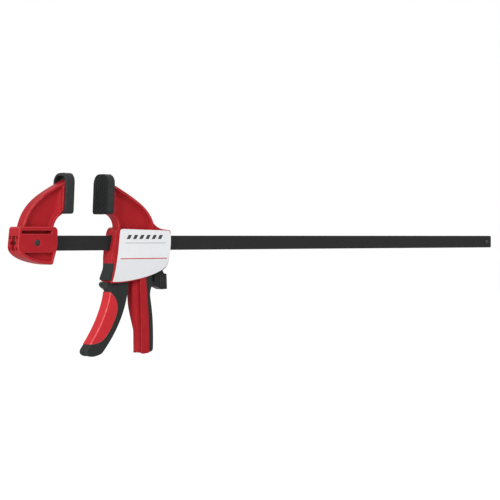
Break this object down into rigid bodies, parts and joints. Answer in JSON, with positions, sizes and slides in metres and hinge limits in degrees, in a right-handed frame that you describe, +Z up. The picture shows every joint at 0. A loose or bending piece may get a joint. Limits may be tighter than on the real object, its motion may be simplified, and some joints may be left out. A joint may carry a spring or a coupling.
{
  "type": "one-handed bar clamp",
  "caption": "Trigger-operated quick bar clamp: fixed and sliding red jaws with black pads on a long flat bar, with a squeeze handle, trigger and release lever.",
  "frame": {"origin": "centre of the fixed jaw pad's clamping face", "axes": "+X along the bar from the fixed jaw towards its free end, +Z up from the bar towards the jaw tips, Y across the thickness"},
  "size_m": [0.984, 0.036, 0.2574],
  "materials": {
    "bar_steel": "black oxide, satin",
    "pin_steel": "plain steel",
    "dark_pin": "black oxide",
    "red_plastic": "fine moulded texture",
    "black_plastic": "moulded",
    "black_rubber": "matt soft grip",
    "red_rubber": "soft grip",
    "label_film": "printed film",
    "plate_steel": "hardened steel",
    "spring_steel": "spring wire"
  },
  "bodies": {
    "frame": {"bar": "bar_steel", "bar_stop_pin": "pin_steel", "fixed_jaw": "red_plastic", "fixed_jaw_pin": "dark_pin", "fixed_jaw_pad": "black_rubber"},
    "sliding_jaw": {"sliding_jaw_body": "red_plastic", "side_cover": "red_plastic", "cover_screws": "pin_steel", "label": "label_film", "sliding_jaw_pad": "black_rubber", "finger_guard": "black_rubber", "handle_grip": "black_rubber", "trigger_pivot_pin": "pin_steel", "release_pivot_pin": "pin_steel", "drive_spring": "spring_steel", "brake_spring": "spring_steel"},
    "trigger": {"trigger_lever": "black_plastic", "trigger_inlay": "red_rubber"},
    "drive": {"drive_plates": "plate_steel"},
    "brake": {"brake_plate": "plate_steel"},
    "release": {"release_lever": "black_plastic"}
  },
  "joints": [
    {"name": "jaw_slide", "type": "slide", "parent": "frame", "child": "sliding_jaw", "axis": [1, 0, 0], "range_m": [-0.0517, 0.709]},
    {"name": "trigger_squeeze", "type": "hinge", "parent": "sliding_jaw", "child": "trigger", "pos_m": [0.089, 0, -0.0985], "axis": [0, -1, 0], "range_deg": [0, 12], "stiffness_Nm_per_rad": 0.8, "springref_deg": -14.32},
    {"name": "plate_feed", "type": "slide", "parent": "sliding_jaw", "child": "drive", "axis": [1, 0, 0], "range_m": [0, 0.0022], "deforming": ["drive_spring"]},
    {"name": "release_press", "type": "hinge", "parent": "sliding_jaw", "child": "release", "pos_m": [0.149, 0, -0.1015], "axis": [0, 1, 0], "range_deg": [0, 10], "stiffness_Nm_per_rad": 0.4, "springref_deg": -11.46},
    {"name": "brake_tilt", "type": "hinge", "parent": "sliding_jaw", "child": "brake", "pos_m": [0.144, 0, -0.0565], "axis": [0, -1, 0], "range_deg": [0, 2.7], "deforming": ["brake_spring"]}
  ],
  "couplings": [
    {"joint": "plate_feed", "follows": "trigger_squeeze", "m_per_rad": 0.01},
    {"joint": "brake_tilt", "follows": "release_press", "ratio": 0.26}
  ]
}
